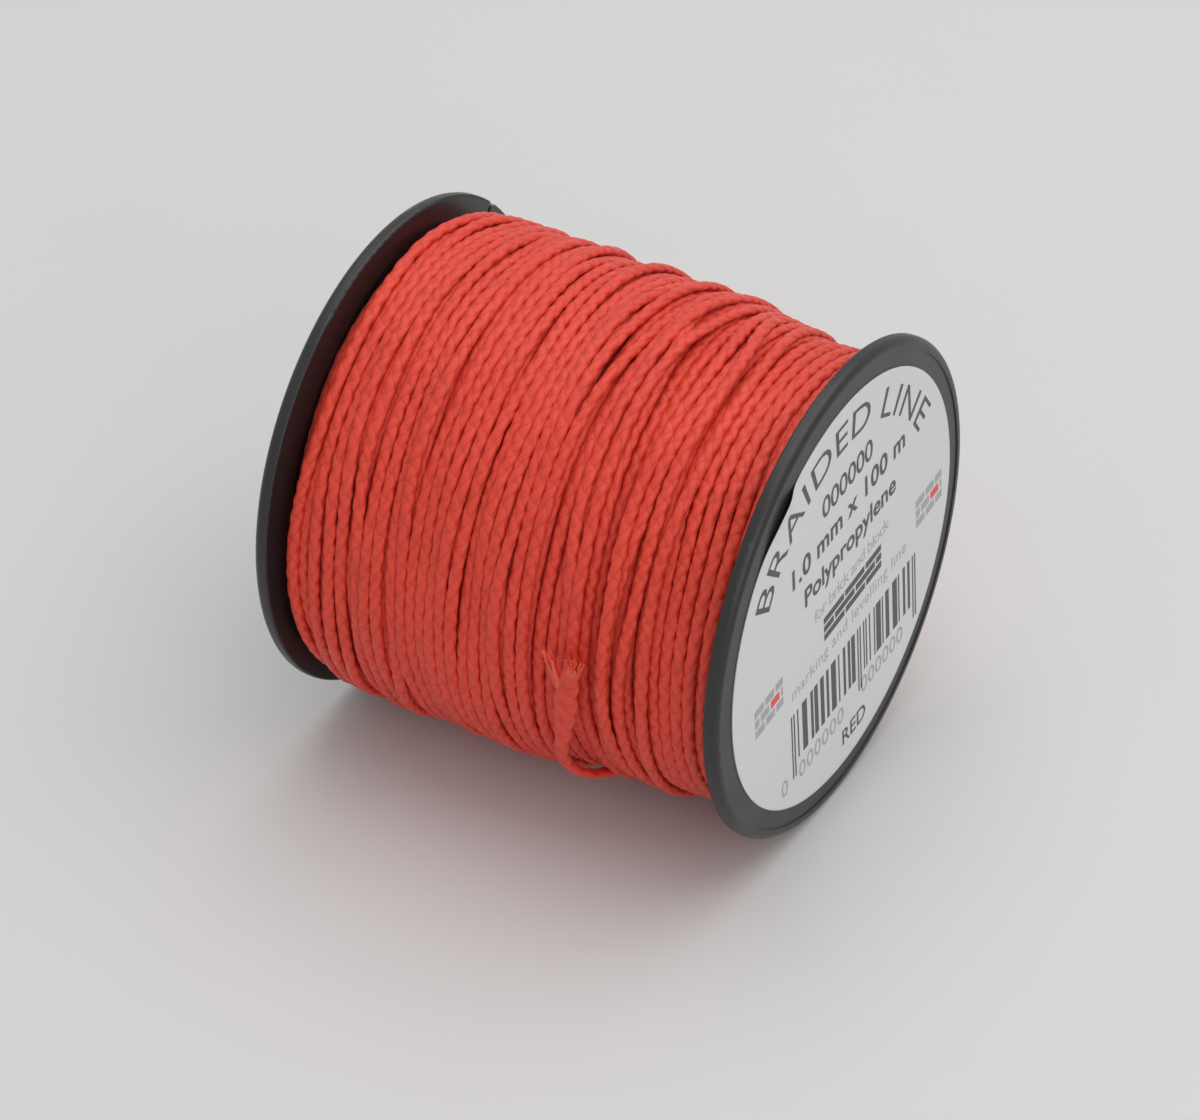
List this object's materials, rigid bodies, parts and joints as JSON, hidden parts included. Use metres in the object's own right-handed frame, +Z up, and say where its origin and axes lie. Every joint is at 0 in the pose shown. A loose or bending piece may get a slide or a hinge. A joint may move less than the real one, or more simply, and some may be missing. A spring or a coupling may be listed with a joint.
{
  "type": "mason's line spool",
  "caption": "Two-flange plastic spool wound with braided mason's line, with a round end label and the cut line end looped over the turns.",
  "frame": {"origin": "on the surface under the two rims, below the middle of the spool's axis", "axes": "+X along the spool's axis towards the labelled end, +Z up"},
  "size_m": [0.0568, 0.0564, 0.0565],
  "materials": {
    "spool_plastic": "satin black moulded plastic",
    "line": "bright red braided polypropylene, slight sheen",
    "label": "white printed label film"
  },
  "bodies": {
    "root": {"rear_flange": "spool_plastic", "front_flange": "spool_plastic", "core_barrel": "spool_plastic", "end_label": "label", "line_winding": "line", "line_tail": "line"}
  },
  "joints": []
}
